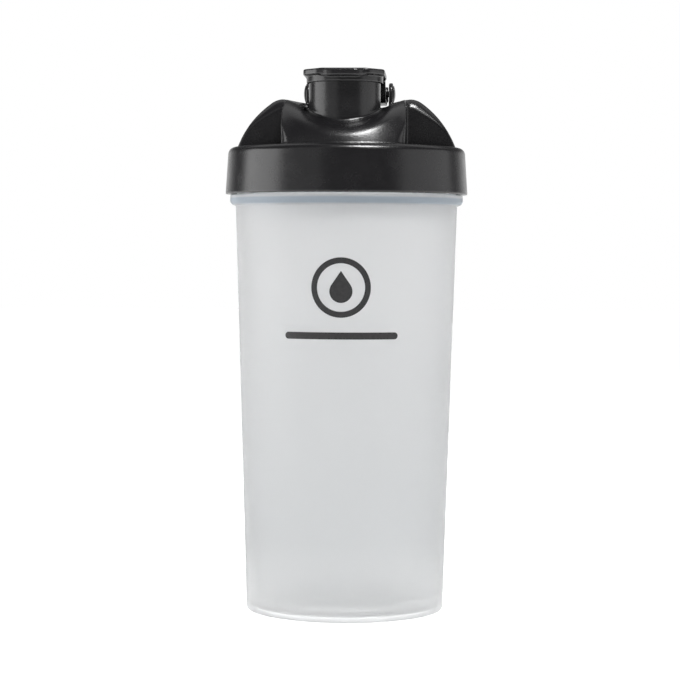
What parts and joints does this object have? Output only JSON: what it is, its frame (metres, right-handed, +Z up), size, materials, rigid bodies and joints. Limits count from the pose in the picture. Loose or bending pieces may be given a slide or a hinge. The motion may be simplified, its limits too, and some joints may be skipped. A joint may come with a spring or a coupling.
{
  "type": "protein shaker bottle",
  "caption": "Tapered translucent shaker cup with a black screw-on domed lid, drinking spout and a hinged flip cap.",
  "frame": {"origin": "middle of the surface that the cup stands on", "axes": "+Z up along the bottle's axis, -Y towards the drinking spout, the flip cap's hinge on the +Y side"},
  "size_m": [0.094, 0.094, 0.2078],
  "materials": {
    "frosted_plastic": "translucent frosted polypropylene",
    "black_plastic": "satin black polypropylene",
    "silicone": "soft white silicone",
    "natural_plastic": "natural uncoloured polypropylene"
  },
  "bodies": {
    "cup_body": {"cup": "frosted_plastic"},
    "gasket_ring": {"lid_gasket": "silicone"},
    "screw_lid": {"lid": "black_plastic", "strainer": "natural_plastic", "hinge_pin": "black_plastic"},
    "cap": {"flip_cap": "black_plastic", "spout_seal": "silicone"}
  },
  "joints": [
    {"name": "lid_lift", "type": "slide", "parent": "cup_body", "child": "gasket_ring", "axis": [0, 0, 1], "range_m": [0, 0.0055]},
    {"name": "lid_turn", "type": "hinge", "parent": "gasket_ring", "child": "screw_lid", "pos_m": [0, 0, 0.17], "axis": [0, 0, 1], "range_deg": [0, 220]},
    {"name": "cap_flip", "type": "hinge", "parent": "screw_lid", "child": "cap", "pos_m": [0, 0.024, 0.202], "axis": [-1, 0, 0], "range_deg": [0, 150]}
  ],
  "couplings": [
    {"joint": "lid_lift", "follows": "lid_turn", "m_per_rad": 0.0014324}
  ]
}
